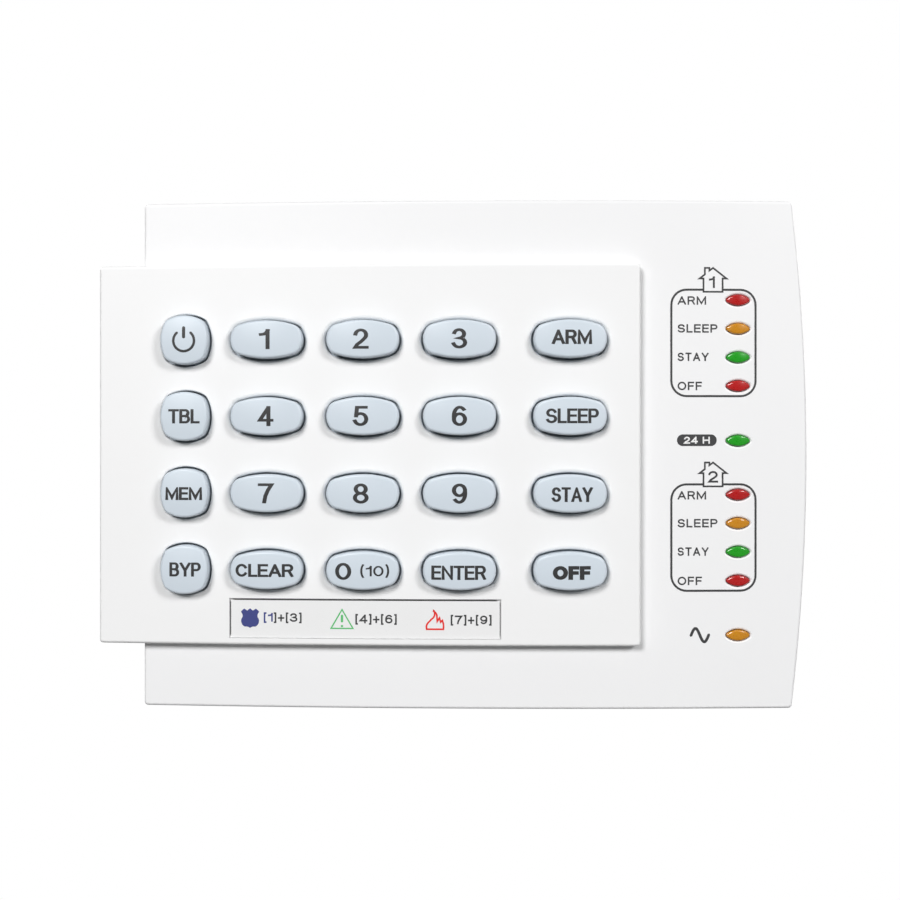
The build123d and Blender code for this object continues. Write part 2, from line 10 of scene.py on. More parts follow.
import bpy
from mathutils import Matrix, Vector

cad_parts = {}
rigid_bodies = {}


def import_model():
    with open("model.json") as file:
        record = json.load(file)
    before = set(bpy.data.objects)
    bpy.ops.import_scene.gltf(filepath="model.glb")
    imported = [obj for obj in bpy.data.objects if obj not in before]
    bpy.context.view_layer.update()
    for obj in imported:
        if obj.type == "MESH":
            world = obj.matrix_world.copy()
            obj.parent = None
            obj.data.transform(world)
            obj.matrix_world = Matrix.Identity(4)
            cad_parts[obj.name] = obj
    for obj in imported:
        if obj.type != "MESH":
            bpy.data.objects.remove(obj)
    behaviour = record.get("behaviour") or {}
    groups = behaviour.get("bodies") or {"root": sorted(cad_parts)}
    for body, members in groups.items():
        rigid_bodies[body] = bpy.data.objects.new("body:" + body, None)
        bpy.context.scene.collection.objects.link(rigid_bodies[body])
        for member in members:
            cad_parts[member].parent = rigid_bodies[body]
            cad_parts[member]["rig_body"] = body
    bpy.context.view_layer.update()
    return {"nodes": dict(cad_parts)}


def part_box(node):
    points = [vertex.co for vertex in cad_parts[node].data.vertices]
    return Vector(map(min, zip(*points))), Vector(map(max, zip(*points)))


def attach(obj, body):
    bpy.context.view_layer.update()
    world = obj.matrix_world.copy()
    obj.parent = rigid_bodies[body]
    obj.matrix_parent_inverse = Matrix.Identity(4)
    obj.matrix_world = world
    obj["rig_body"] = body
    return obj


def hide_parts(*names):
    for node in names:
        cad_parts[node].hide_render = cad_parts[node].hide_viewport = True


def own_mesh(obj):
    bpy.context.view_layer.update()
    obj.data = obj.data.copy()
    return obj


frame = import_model()
nodes = frame["nodes"]
MM = 0.001
bpy.ops.object.select_all(action="DESELECT")

# %% [markdown]
# ## Camera
# The keypad is seen square on from about a forearm's length. A short distance matters here:
# the bowed front and the raised fascia shift slightly against each other, and that is what
# makes the picture read as a real panel. So the camera is placed first, in front of the case.

# %% Place the camera
CAMERA_DISTANCE = 300 * MM
CAMERA_SIDE = -3.5 * MM
CAMERA_RISE = 1.0 * MM
LENS_LENGTH = 55.96

case_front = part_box("base_housing")[0].y
camera_data = bpy.data.cameras.new("keypad_camera")
camera_data.lens = LENS_LENGTH
camera_data.sensor_width = 36.0
camera_data.clip_start = 0.01
camera = bpy.data.objects.new("keypad_camera", camera_data)
bpy.context.scene.collection.objects.link(camera)
camera.location = (CAMERA_SIDE, case_front - CAMERA_DISTANCE, CAMERA_RISE)
camera.rotation_euler = (math.pi / 2, 0, 0)
bpy.context.scene.camera = camera
print("camera at", list(camera.location))

# %% [markdown]
# ## Light
# The panel hangs on a wall, and two softboxes stand in front of it. The stronger one is high
# on the left and the weaker one high on the right, so every raised edge throws two soft
# shadows, down to the right and down to the left. A pair behind does the same for the back.
# One large softbox would be simpler, but it would leave the keys without that modelling.

# %% Place the softboxes
SOFTBOX_DISTANCE = 2.2
SOFTBOXES = {
    # name: (direction it stands in, side length in metres, watts)
    "left_softbox": ((-0.47, -1.0, 0.56), 0.70, 33.5),
    "right_softbox": ((0.815, -1.0, 0.56), 0.55, 22.5),
    "back_left_softbox": ((-0.9, 1.0, 0.7), 0.9, 24.0),
    "back_right_softbox": ((0.8, 1.0, 0.4), 0.9, 16.0),
}


def softbox(name, toward, size, power):
    """A square light that stands in a direction from the panel and faces it."""
    data = bpy.data.lights.new(name, "AREA")
    data.size = size
    data.energy = power
    light = bpy.data.objects.new(name, data)
    bpy.context.scene.collection.objects.link(light)
    light.location = Vector(toward).normalized() * SOFTBOX_DISTANCE
    light.rotation_euler = (-light.location).to_track_quat("-Z", "Y").to_euler()
    return light


for name, (toward, size, power) in SOFTBOXES.items():
    softbox(name, toward, size, power)
print("placed", len(SOFTBOXES), "softboxes")

# %% [markdown]
# ## Studio and floor
# The room is plain white where the camera sees it. If that white also lit the panel, the
# shadows would wash out, so the world asks the Light Path node who is looking: the camera
# sees white, and every other ray sees a dim grey. The floor far below does the same.

# %% Make the world and the floor
AMBIENT = 0.1
SEEN_WHITE = 1.0
FLOOR_DROP = 120 * MM
FLOOR_SIZE = 3.0
FLOOR_GREY = 0.12  # what the panel sees of it


def seen_white(tree, other):
    """Mixes a white that only the camera sees with another shader's output."""
    path = tree.nodes.new("ShaderNodeLightPath")
    white = tree.nodes.new("ShaderNodeEmission")
    white.inputs["Strength"].default_value = SEEN_WHITE
    mix = tree.nodes.new("ShaderNodeMixShader")
    tree.links.new(path.outputs["Is Camera Ray"], mix.inputs["Fac"])
    tree.links.new(other, mix.inputs[1])
    tree.links.new(white.outputs["Emission"], mix.inputs[2])
    return mix.outputs["Shader"]


def make_world():
    world = bpy.data.worlds.new("studio")
    world.use_nodes = True
    tree = world.node_tree
    dim = tree.nodes["Background"]
    dim.inputs["Color"].default_value = (1, 1, 1, 1)
    dim.inputs["Strength"].default_value = AMBIENT
    path = tree.nodes.new("ShaderNodeLightPath")
    white = tree.nodes.new("ShaderNodeBackground")
    white.inputs["Color"].default_value = (1, 1, 1, 1)
    white.inputs["Strength"].default_value = SEEN_WHITE
    mix = tree.nodes.new("ShaderNodeMixShader")
    tree.links.new(path.outputs["Is Camera Ray"], mix.inputs["Fac"])
    tree.links.new(dim.outputs["Background"], mix.inputs[1])
    tree.links.new(white.outputs["Background"], mix.inputs[2])
    tree.links.new(mix.outputs["Shader"], tree.nodes["World Output"].inputs["Surface"])
    bpy.context.scene.world = world


def make_floor():
    bpy.ops.mesh.primitive_plane_add(size=FLOOR_SIZE, location=(0, 0, -FLOOR_DROP))
    floor = bpy.context.object
    floor.name = "studio_floor"
    paint = bpy.data.materials.new("floor_white")
    paint.use_nodes = True
    tree = paint.node_tree
    shader = tree.nodes["Principled BSDF"]
    shader.inputs["Base Color"].default_value = (FLOOR_GREY, FLOOR_GREY, FLOOR_GREY, 1)
    shader.inputs["Roughness"].default_value = 0.9
    output = tree.nodes["Material Output"]
    tree.links.new(seen_white(tree, shader.outputs["BSDF"]), output.inputs["Surface"])
    floor.data.materials.append(paint)
    return floor


make_world()
make_floor()
bpy.context.scene.view_settings.view_transform = "Standard"
bpy.ops.object.select_all(action="DESELECT")
print("white room, ambient", AMBIENT)

# %% [markdown]
# ## Shared effects
# Moulded plastic is never a flat colour: the mould is spark-eroded, so light breaks up over a
# grain of about a fifth of a millimetre, and large areas drift slightly in tone. Several
# finishes need this, so it is built once as a node group and placed with its own values.

# %% Helpers for node groups
NOISE_LOW = 0.3  # the span that most of a noise texture's values lie in
NOISE_HIGH = 0.7
CLOUD_SCALE = 28.0  # slow drift of tone, in spots per metre
STAIN_SCALE = 400.0
STAIN = 0.25


def group_with(name, inputs, outputs):
    """An empty shader group with the sockets that the lists name."""
    group = bpy.data.node_groups.new(name, "ShaderNodeTree")
    for label, kind, value in inputs:
        socket = group.interface.new_socket(label, in_out="INPUT", socket_type=kind)
        socket.default_value = value
    for label, kind in outputs:
        group.interface.new_socket(label, in_out="OUTPUT", socket_type=kind)
    return group, group.nodes.new("NodeGroupInput"), group.nodes.new("NodeGroupOutput")


def maths(tree, operation, *values):
    """A Math node. A value is a number, or the socket that feeds it."""
    node = tree.nodes.new("ShaderNodeMath")
    node.operation = operation
    for socket, value in zip(node.inputs, values):
        if isinstance(value, (int, float)):
            socket.default_value = value
        else:
            tree.links.new(value, socket)
    return node.outputs[0]


def noise(tree, vector, scale, detail=2.0):
    """A noise texture's value. Its scale is a number, or the socket that feeds it."""
    node = tree.nodes.new("ShaderNodeTexNoise")
    node.inputs["Detail"].default_value = detail
    tree.links.new(vector, node.inputs["Vector"])
    if isinstance(scale, (int, float)):
        node.inputs["Scale"].default_value = scale
    else:
        tree.links.new(scale, node.inputs["Scale"])
    return node.outputs["Fac"]


def mapped(tree, value, low, high):
    """A noise value, stretched so that its usual span runs from low to high."""
    node = tree.nodes.new("ShaderNodeMapRange")
    node.inputs["From Min"].default_value = NOISE_LOW
    node.inputs["From Max"].default_value = NOISE_HIGH
    tree.links.new(value, node.inputs["Value"])
    tree.links.new(low, node.inputs["To Min"])
    tree.links.new(high, node.inputs["To Max"])
    return node.outputs["Result"]


# %% Build the moulded grain group
def make_grain_group():
    inputs = [
        ("Color", "NodeSocketColor", (0.8, 0.8, 0.8, 1)),
        ("Drift", "NodeSocketFloat", 0.02),
        ("Grain Size", "NodeSocketFloat", 0.0002),
        ("Roughness", "NodeSocketFloat", 0.4),
        ("Roughness Spread", "NodeSocketFloat", 0.08),
    ]
    outputs = [("Color", "NodeSocketColor"), ("Roughness", "NodeSocketFloat"), ("Height", "NodeSocketFloat")]
    group, given, made = group_with("moulded_grain", inputs, outputs)
    place = group.nodes.new("ShaderNodeTexCoord").outputs["Object"]
    grain = noise(group, place, maths(group, "DIVIDE", 1.0, given.outputs["Grain Size"]), 3.0)
    cloud = noise(group, place, CLOUD_SCALE)
    shift = maths(group, "SUBTRACT", cloud, 0.5)
    amount = maths(group, "MULTIPLY_ADD", shift, given.outputs["Drift"], 1.0)
    tone = group.nodes.new("ShaderNodeVectorMath")
    tone.operation = "SCALE"
    group.links.new(given.outputs["Color"], tone.inputs[0])
    group.links.new(amount, tone.inputs["Scale"])
    low = maths(group, "SUBTRACT", given.outputs["Roughness"], given.outputs["Roughness Spread"])
    high = maths(group, "ADD", given.outputs["Roughness"], given.outputs["Roughness Spread"])
    group.links.new(tone.outputs[0], made.inputs["Color"])
    group.links.new(mapped(group, grain, low, high), made.inputs["Roughness"])
    group.links.new(grain, made.inputs["Height"])
    return group


moulded_grain = make_grain_group()
print("grain group has", len(moulded_grain.nodes), "nodes")

# %% [markdown]
# A metal part carries its marks in one direction, the way it was drawn or rolled. The second
# group stretches a fine noise along one axis and varies the tone with a second noise.

# %% Build the drawn metal group
def make_drawn_group():
    inputs = [
        ("Color", "NodeSocketColor", (0.7, 0.7, 0.7, 1)),
        ("Stretch", "NodeSocketVector", (1.0, 0.06, 1.0)),
        ("Line Size", "NodeSocketFloat", 0.0001),
        ("Roughness", "NodeSocketFloat", 0.3),
        ("Roughness Spread", "NodeSocketFloat", 0.1),
    ]
    outputs = [("Color", "NodeSocketColor"), ("Roughness", "NodeSocketFloat"), ("Height", "NodeSocketFloat")]
    group, given, made = group_with("drawn_metal", inputs, outputs)
    place = group.nodes.new("ShaderNodeTexCoord").outputs["Object"]
    along = group.nodes.new("ShaderNodeVectorMath")
    along.operation = "MULTIPLY"
    group.links.new(place, along.inputs[0])
    group.links.new(given.outputs["Stretch"], along.inputs[1])
    lines = noise(group, along.outputs[0], maths(group, "DIVIDE", 1.0, given.outputs["Line Size"]), 4.0)
    stain = noise(group, place, STAIN_SCALE)
    shift = maths(group, "SUBTRACT", stain, 0.5)
    tone = group.nodes.new("ShaderNodeVectorMath")
    tone.operation = "SCALE"
    group.links.new(given.outputs["Color"], tone.inputs[0])
    group.links.new(maths(group, "MULTIPLY_ADD", shift, STAIN, 1.0), tone.inputs["Scale"])
    low = maths(group, "SUBTRACT", given.outputs["Roughness"], given.outputs["Roughness Spread"])
    high = maths(group, "ADD", given.outputs["Roughness"], given.outputs["Roughness Spread"])
    group.links.new(tone.outputs[0], made.inputs["Color"])
    group.links.new(mapped(group, lines, low, high), made.inputs["Roughness"])
    group.links.new(lines, made.inputs["Height"])
    return group


drawn_metal = make_drawn_group()
print("drawn metal group has", len(drawn_metal.nodes), "nodes")

# %% [markdown]
# ## Finishes
# A finish is a Principled shader fed by one of the groups. What is the same all over, such as
# the coat or the light that sinks into soft plastic, is set on the shader's own sockets. The
# helpers below keep that pattern, so each finish is a few plain numbers.

# %% Helpers that make a finish
def fed_by(name, effect_tree, settings, bump):
    """A material whose group gives its colour, roughness and fine relief."""
    material = bpy.data.materials.new(name)
    material.use_nodes = True
    tree = material.node_tree
    shader = tree.nodes["Principled BSDF"]
    effect = tree.nodes.new("ShaderNodeGroup")
    effect.node_tree = effect_tree
    for label, value in settings.items():
        effect.inputs[label].default_value = value
    dent = tree.nodes.new("ShaderNodeBump")
    dent.inputs["Distance"].default_value = bump * MM
    dent.inputs["Strength"].default_value = 1.0
    tree.links.new(effect.outputs["Color"], shader.inputs["Base Color"])
    tree.links.new(effect.outputs["Roughness"], shader.inputs["Roughness"])
    tree.links.new(effect.outputs["Height"], dent.inputs["Height"])
    tree.links.new(dent.outputs["Normal"], shader.inputs["Normal"])
    return material, shader


def moulded(name, color, roughness, spread=0.05, grain=0.2, bump=0.02, drift=0.02, coat=0.0, coat_rough=0.1):
    """A moulded finish: grain in millimetres, bump as the depth of the grain in millimetres."""
    settings = {
        "Color": (*color, 1),
        "Drift": drift,
        "Grain Size": grain * MM,
        "Roughness": roughness,
        "Roughness Spread": spread,
    }
    material, shader = fed_by(name, moulded_grain, settings, bump)
    shader.inputs["Coat Weight"].default_value = coat
    shader.inputs["Coat Roughness"].default_value = coat_rough
    return material


def metal(name, color, roughness, spread=0.1, line=0.1, stretch=(1.0, 0.06, 1.0), bump=0.002):
    """A drawn or plated metal, with its lines along the axis that stretch makes small."""
    settings = {
        "Color": (*color, 1),
        "Stretch": stretch,
        "Line Size": line * MM,
        "Roughness": roughness,
        "Roughness Spread": spread,
    }
    material, shader = fed_by(name, drawn_metal, settings, bump)
    shader.inputs["Metallic"].default_value = 1.0
    return material


def sinking(material, weight, radius):
    """Lets light sink a little way into a milky plastic, by radius in millimetres."""
    shader = material.node_tree.nodes["Principled BSDF"]
    shader.inputs["Subsurface Weight"].default_value = weight
    shader.inputs["Subsurface Radius"].default_value = (1.0, 1.0, 1.0)
    shader.inputs["Subsurface Scale"].default_value = radius * MM
    return material


def dress(finish, *names):
    """Puts a finish on CAD nodes."""
    for name in names:
        materials = nodes[name].data.materials
        materials.clear()
        materials.append(finish)


# %% [markdown]
# The case and the fascia are the same white plastic from two moulds, so their grain differs a
# little. The keys are a smooth grey-blue plastic with a soft shine: a faint clear coat over a
# rougher body brightens their upper edges without making a hard mirror.

# %% Finishes seen from the front
case_white = moulded("case_white", (0.88, 0.88, 0.885), 0.42, grain=0.25, bump=0.006)
fascia_white = moulded("fascia_white", (0.89, 0.89, 0.89), 0.42, grain=0.25, bump=0.006)
label_white = moulded("label_white", (0.85, 0.85, 0.85), 0.3, grain=0.1, bump=0.002)
key_blue_grey = moulded(
    "key_blue_grey", (0.635, 0.705, 0.77), 0.4, grain=0.12, bump=0.0015, coat=0.15, coat_rough=0.26
)
dress(case_white, "wall_plate", "base_housing")
dress(fascia_white, "keypad_fascia")
dress(label_white, "legend_label")
key_names = [name for name in nodes if name.startswith("key_") and name != "key_mat"]
dress(key_blue_grey, *key_names)
print("dressed", len(key_names), "keys")

# %% [markdown]
# The lights are tinted clear plastic over a milky block. Real transmission would need the
# lamps behind them to be lit, so the tint is a coloured body that light sinks into, under a
# strong clear coat that carries the highlight.

# %% Finishes of the lenses
LENS_TINTS = {
    "red_lenses": (0.46, 0.004, 0.004),
    "amber_lenses": (0.60, 0.245, 0.006),
    "green_lenses": (0.008, 0.34, 0.007),
}
for name, tint in LENS_TINTS.items():
    tinted = moulded(name + "_tint", tint, 0.3, grain=0.3, bump=0.001, drift=0.25, coat=0.8, coat_rough=0.12)
    dress(sinking(tinted, 0.15, 0.5), name)
print("tinted", len(LENS_TINTS), "sets of lenses")

# %% [markdown]
# ## The circuit board
# A board's green is a varnish over copper: the tracks show as slightly paler, slightly raised
# lines that run in parallel and turn at 45 degrees, with tinned pads where parts join. Drawing
# them one by one would take thousands of faces nobody looks at twice. Here square tiles each
# carry the same set of slanted lines, and a random half of the tiles is mirrored, so the lines
# join up across tiles into tracks.

# %% Build the track pattern group
PAD_RADIUS = 0.16  # as a share of half a tile
BARE_PLACES = 0.72  # the share of places without a pad


def make_track_group():
    inputs = [
        ("Tile", "NodeSocketFloat", 0.006),
        ("Lines", "NodeSocketFloat", 4.0),
        ("Width", "NodeSocketFloat", 0.3),
    ]
    outputs = [("Track", "NodeSocketFloat"), ("Pad", "NodeSocketFloat")]
    tree, given, made = group_with("board_tracks", inputs, outputs)
    parts = tree.nodes.new("ShaderNodeSeparateXYZ")
    tree.links.new(tree.nodes.new("ShaderNodeTexCoord").outputs["Object"], parts.inputs[0])
    across = maths(tree, "DIVIDE", parts.outputs["X"], given.outputs["Tile"])
    up = maths(tree, "DIVIDE", parts.outputs["Z"], given.outputs["Tile"])
    tile = tree.nodes.new("ShaderNodeCombineXYZ")
    tree.links.new(maths(tree, "FLOOR", across), tile.inputs["X"])
    tree.links.new(maths(tree, "FLOOR", up), tile.inputs["Y"])
    pick = tree.nodes.new("ShaderNodeTexWhiteNoise")
    tree.links.new(tile.outputs[0], pick.inputs["Vector"])
    mirrored = maths(tree, "GREATER_THAN", pick.outputs["Value"], 0.5)
    u = maths(tree, "FRACT", across)
    v = maths(tree, "FRACT", up)
    flip = maths(tree, "MULTIPLY", mirrored, maths(tree, "MULTIPLY_ADD", u, -2.0, 1.0))
    slant = maths(tree, "SUBTRACT", maths(tree, "ADD", u, flip), v)
    row = maths(tree, "FRACT", maths(tree, "MULTIPLY_ADD", slant, given.outputs["Lines"], 0.5))
    away = maths(tree, "ABSOLUTE", maths(tree, "SUBTRACT", row, 0.5))
    track = maths(tree, "LESS_THAN", away, maths(tree, "MULTIPLY", given.outputs["Width"], 0.5))
    dots = tree.nodes.new("ShaderNodeTexVoronoi")
    dots.inputs["Randomness"].default_value = 0.0
    dots.inputs["Scale"].default_value = 1.0
    spread = tree.nodes.new("ShaderNodeCombineXYZ")
    tree.links.new(maths(tree, "MULTIPLY", across, 2.0), spread.inputs["X"])
    tree.links.new(maths(tree, "MULTIPLY", up, 2.0), spread.inputs["Y"])
    tree.links.new(spread.outputs[0], dots.inputs["Vector"])
    near = maths(tree, "LESS_THAN", dots.outputs["Distance"], PAD_RADIUS)
    shade = tree.nodes.new("ShaderNodeSeparateXYZ")
    tree.links.new(dots.outputs["Color"], shade.inputs[0])
    some = maths(tree, "GREATER_THAN", shade.outputs["X"], BARE_PLACES)
    pad = maths(tree, "MULTIPLY", near, some)
    tree.links.new(track, made.inputs["Track"])
    tree.links.new(pad, made.inputs["Pad"])
    return tree


board_tracks = make_track_group()
print("track group has", len(board_tracks.nodes), "nodes")

# %% Finish of the board
TRACK_HEIGHT = 0.03  # millimetres


def blend_color(tree, mask, low, high):
    """A colour that is low where the mask is 0 and high where it is 1."""
    mix = tree.nodes.new("ShaderNodeMix")
    mix.data_type = "RGBA"
    tree.links.new(mask, mix.inputs["Factor"])
    for socket, value in (("A", low), ("B", high)):
        place = next(s for s in mix.inputs if s.name == socket and s.type == "RGBA")
        if isinstance(value, tuple):
            place.default_value = (*value, 1)
        else:
            tree.links.new(value, place)
    return next(s for s in mix.outputs if s.type == "RGBA")


def make_board_finish():
    material = moulded("board_green", (0.008, 0.075, 0.026), 0.28, grain=0.15, bump=0.002, drift=0.15)
    tree = material.node_tree
    shader = tree.nodes["Principled BSDF"]
    tracks = tree.nodes.new("ShaderNodeGroup")
    tracks.node_tree = board_tracks
    varnish = shader.inputs["Base Color"].links[0].from_socket
    paler = blend_color(tree, tracks.outputs["Track"], varnish, (0.016, 0.13, 0.045))
    tinned = blend_color(tree, tracks.outputs["Pad"], paler, (0.62, 0.61, 0.58))
    facing = tree.nodes.new("ShaderNodeSeparateXYZ")
    tree.links.new(tree.nodes.new("ShaderNodeNewGeometry").outputs["Normal"], facing.inputs[0])
    cut_edge = maths(tree, "LESS_THAN", maths(tree, "ABSOLUTE", facing.outputs["Y"]), 0.5)
    tree.links.new(blend_color(tree, cut_edge, tinned, (0.42, 0.36, 0.16)), shader.inputs["Base Color"])
    dent = next(n for n in tree.nodes if n.type == "BUMP")
    dent.inputs["Distance"].default_value = TRACK_HEIGHT * MM
    tree.links.new(tracks.outputs["Track"], dent.inputs["Height"])
    tree.links.new(tracks.outputs["Pad"], shader.inputs["Metallic"])
    return material


dress(make_board_finish(), "circuit_board")
print("board dressed")

# %% [markdown]
# ## Parts on the board
# Each part gets the finish of its real material: tin and gold wear drawn lines, epoxy chips
# are dull with a fine sandy surface, and the silicone key mat is milky and soft.

# %% Finishes of the parts inside
mat_rubber = sinking(moulded("silicone_mat", (0.60, 0.63, 0.66), 0.55, grain=0.1, bump=0.004), 0.4, 1.2)
block_white = sinking(moulded("block_white", (0.74, 0.74, 0.70), 0.45, grain=0.3, bump=0.006), 0.2, 0.6)
lamp_resin = moulded("lamp_body", (0.78, 0.74, 0.55), 0.25, grain=0.08, bump=0.001, coat=0.5)
lamp_body = sinking(lamp_resin, 0.3, 0.3)
terminal_green = moulded("terminal_green", (0.012, 0.14, 0.04), 0.45, grain=0.15, bump=0.006, drift=0.08)
black_plastic = moulded("black_plastic", (0.014, 0.014, 0.016), 0.5, grain=0.15, bump=0.006, drift=0.1)
chip_resin = moulded("chip_resin", (0.018, 0.018, 0.02), 0.62, grain=0.06, bump=0.004, drift=0.2)
small_parts = moulded("small_parts", (0.33, 0.25, 0.16), 0.4, grain=0.5, bump=0.003, drift=0.9)
plunger_white = sinking(moulded("plunger_white", (0.76, 0.76, 0.72), 0.35, grain=0.2, bump=0.003), 0.2, 0.5)
zinc = metal("zinc_plated", (0.66, 0.67, 0.69), 0.34)
brass = metal("plated_brass", (0.72, 0.56, 0.27), 0.3)
drawn_can = metal("drawn_can", (0.74, 0.75, 0.76), 0.24, stretch=(1.0, 1.0, 0.05))
gold = metal("gold_flash", (0.83, 0.62, 0.24), 0.22)
aluminium = metal("can_aluminium", (0.79, 0.8, 0.81), 0.28, stretch=(1.0, 0.04, 1.0))
spring_wire = metal("spring_wire", (0.56, 0.57, 0.6), 0.26, line=0.06)
INSIDE = {
    mat_rubber: ["key_mat"],
    block_white: ["light_block"],
    lamp_body: ["indicator_leds", "backlight_leds"],
    terminal_green: ["terminal_block"],
    black_plastic: ["buzzer", "programming_header", "tamper_switch"],
    chip_resin: ["microcontroller", "voltage_regulator"],
    small_parts: ["smd_parts"],
    plunger_white: ["tamper_plunger"],
    zinc: ["pcb_screws", "terminal_screws"],
    brass: ["terminal_clamps"],
    drawn_can: ["crystal"],
    gold: ["header_pins"],
    aluminium: ["capacitors"],
}
for finish, names in INSIDE.items():
    dress(finish, *names)
print("dressed", sum(len(names) for names in INSIDE.values()), "nodes inside")

# %% [markdown]
# The tamper spring shortens when its plunger goes in, which a rigid piece can't do. The coil is
# wound again here, as a ring of wire turned round the plunger's axis by a Screw modifier, and it
# rides with the front unit as one rigid piece, so it does not shorten.

# %% Wind the tamper spring
WIRE = 0.35  # millimetres
WIRE_SIDES = 12
COILS = 3
STEPS_PER_COIL = 36
QUARTER_TURN = math.radians(90)
low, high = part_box("tamper_spring")
middle = (low + high) / 2
coil_radius = (high.x - low.x - WIRE * MM) / 2
coil_length = high.y - low.y
bpy.ops.object.select_all(action="DESELECT")
bpy.ops.mesh.primitive_circle_add(
    vertices=WIRE_SIDES, radius=WIRE * MM / 2, location=(coil_radius, 0, 0), rotation=(QUARTER_TURN, 0, 0)
)
spring = bpy.context.object
spring.name = "wound_spring"
bpy.ops.object.transform_apply(location=True, rotation=True, scale=True)
screw = spring.modifiers.new("Winding", "SCREW")
screw.axis = "Z"
screw.iterations = COILS
screw.screw_offset = (coil_length - WIRE * MM) / COILS
screw.steps = screw.render_steps = STEPS_PER_COIL
screw.use_normal_calculate = True
bpy.ops.object.modifier_apply(modifier=screw.name)
bpy.ops.object.mode_set(mode="EDIT")
bpy.ops.mesh.select_all(action="SELECT")
bpy.ops.mesh.fill_holes(sides=0)
bpy.ops.mesh.normals_make_consistent(inside=False)
bpy.ops.object.mode_set(mode="OBJECT")
spring.rotation_euler = (QUARTER_TURN, 0, 0)
spring.location = (middle.x, high.y - WIRE * MM / 2, middle.z)
bpy.ops.object.transform_apply(location=True, rotation=True, scale=True)
bpy.ops.object.shade_smooth_by_angle(angle=math.radians(40))
spring.data.materials.append(spring_wire)
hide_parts("tamper_spring")
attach(spring, "front_unit")
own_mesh(spring)

# %% [markdown]
# ## Printing
# The legends are pad printed: a soft pad carries ink onto each domed key, so the ink follows
# the dome as a film a few hundredths of a millimetre thick. A picture on the key would need
# an image file. Instead each legend is modelled: flat lettering is made, stood up in front of
# the panel, cut fine enough to bend, pushed straight back onto the surface and thickened.

# %% Inks
INK_GREY = moulded("legend_ink", (0.026, 0.026, 0.027), 0.5, grain=0.06, bump=0.001, drift=0.3)
CASE_INK = moulded("case_ink", (0.042, 0.042, 0.044), 0.5, grain=0.06, bump=0.001, drift=0.3)
WHITE_INK = moulded("white_ink", (0.86, 0.86, 0.86), 0.45, grain=0.06, bump=0.001)
BLUE_INK = moulded("blue_ink", (0.045, 0.057, 0.225), 0.45, grain=0.06, bump=0.001, drift=0.1)
GREEN_INK = moulded("green_ink", (0.11, 0.50, 0.17), 0.45, grain=0.06, bump=0.001, drift=0.1)
RED_INK = moulded("red_ink", (0.80, 0.03, 0.022), 0.45, grain=0.06, bump=0.001, drift=0.1)
print("mixed six inks")

# %% Helpers that make flat artwork
INK_LIFT = 0.03  # millimetres between the surface and the front of the ink
INK_FILM = 0.04  # its thickness, a little of it inside the surface
START_Y = -40 * MM  # artwork starts well in front of the panel


def every_part():
    """Goes into edit mode with the whole mesh selected."""
    bpy.ops.object.mode_set(mode="EDIT")
    bpy.ops.mesh.select_mode(type="VERT")
    bpy.ops.mesh.select_all(action="SELECT")


def remove_faces(flat, unwanted):
    """Deletes the faces that unwanted(face) is true for."""
    bpy.ops.object.mode_set(mode="EDIT")
    bpy.ops.mesh.select_mode(type="FACE")
    bpy.ops.mesh.select_all(action="DESELECT")
    bpy.ops.object.mode_set(mode="OBJECT")
    for face in flat.data.polygons:
        face.select = unwanted(face)
    bpy.ops.object.mode_set(mode="EDIT")
    bpy.ops.mesh.delete(type="FACE")
    bpy.ops.object.mode_set(mode="OBJECT")


def stand_up(flat, x, z):
    """Turns artwork drawn in X and Y to face the reader, centred on x and z in millimetres."""
    flat.rotation_euler = (math.pi / 2, 0, 0)
    flat.location = (x * MM, START_Y, z * MM)
    bpy.ops.object.transform_apply(location=True, rotation=True, scale=True)
    return flat


def flat_face(name, points, x, z):
    """One flat face inside an outline. A point is (x, y) for a corner or (x, y, True) where it runs round."""
    bpy.ops.object.select_all(action="DESELECT")
    bpy.ops.curve.primitive_bezier_circle_add()
    curve = bpy.context.object
    spline = curve.data.splines[0]
    spline.bezier_points.add(len(points) - len(spline.bezier_points))
    curve.data.resolution_u = 6
    for knot, point in zip(spline.bezier_points, points):
        knot.co = (point[0] * MM, point[1] * MM, 0)
        kind = "AUTO" if len(point) == 3 else "VECTOR"
        knot.handle_left_type = kind
        knot.handle_right_type = kind
    bpy.ops.object.convert(target="MESH")
    flat = bpy.context.object
    flat.name = name
    every_part()
    bpy.ops.mesh.remove_doubles(threshold=0.002 * MM)
    bpy.ops.mesh.select_all(action="SELECT")
    bpy.ops.mesh.edge_face_add()
    bpy.ops.mesh.normals_make_consistent(inside=False)
    bpy.ops.object.mode_set(mode="OBJECT")
    if flat.data.polygons[0].normal.z < 0:
        every_part()
        bpy.ops.mesh.flip_normals()
        bpy.ops.object.mode_set(mode="OBJECT")
    return stand_up(flat, x, z)


def only_line(flat, width):
    """Keeps a line of even width along the edge of a flat face."""
    every_part()
    bpy.ops.mesh.inset(thickness=width * MM, use_even_offset=True)
    bpy.ops.mesh.delete(type="FACE")
    bpy.ops.object.mode_set(mode="OBJECT")
    return flat


